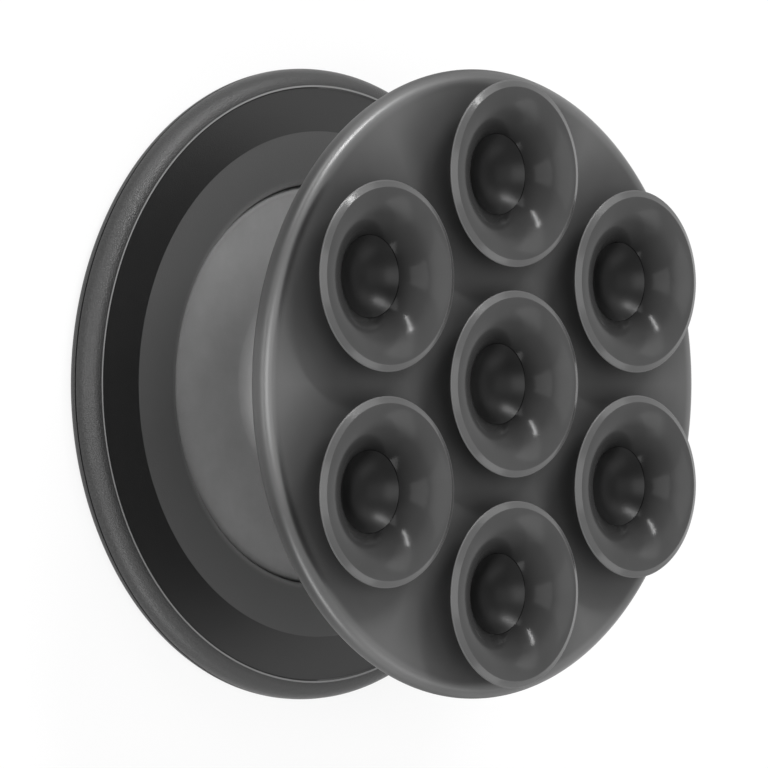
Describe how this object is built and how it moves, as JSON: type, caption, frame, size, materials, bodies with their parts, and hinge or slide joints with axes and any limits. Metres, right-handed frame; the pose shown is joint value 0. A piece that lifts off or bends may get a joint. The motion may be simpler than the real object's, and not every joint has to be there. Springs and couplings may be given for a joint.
{
  "type": "collapsible phone grip",
  "caption": "Collapsible finger grip for a phone: a round top on a folding soft bellows, and a round base whose silicone pad carries suction cups.",
  "frame": {"origin": "centre of the top's flat face, on the grip's axis", "axes": "+Z along the grip's axis, from the top's flat face to the suction cups; the outer cups stand at 0, 60, 120 degrees and so on from +X"},
  "size_m": [0.04, 0.04, 0.0189],
  "materials": {
    "top_face": "satin",
    "top_plastic": "fine moulded grain",
    "hub_plastic": "matt",
    "bellows_rubber": "satin",
    "base_plastic": "matt",
    "pad_silicone": "smooth glossy silicone"
  },
  "bodies": {
    "top": {"top_shell": "top_plastic", "face_plate": "top_face"},
    "hub": {"lock_hub": "hub_plastic", "bellows": "bellows_rubber"},
    "base": {"base_plate": "base_plastic", "retaining_ring": "base_plastic", "suction_pad": "pad_silicone"}
  },
  "joints": [
    {"name": "top_turn", "type": "hinge", "parent": "top", "child": "hub", "pos_m": [0, 0, 0.0018], "axis": [0, 0, 1], "range_deg": [0, 90]},
    {"name": "collapse", "type": "slide", "parent": "hub", "child": "base", "axis": [0, 0, 1], "range_m": [-0.0104, 0], "deforming": ["bellows"]}
  ]
}
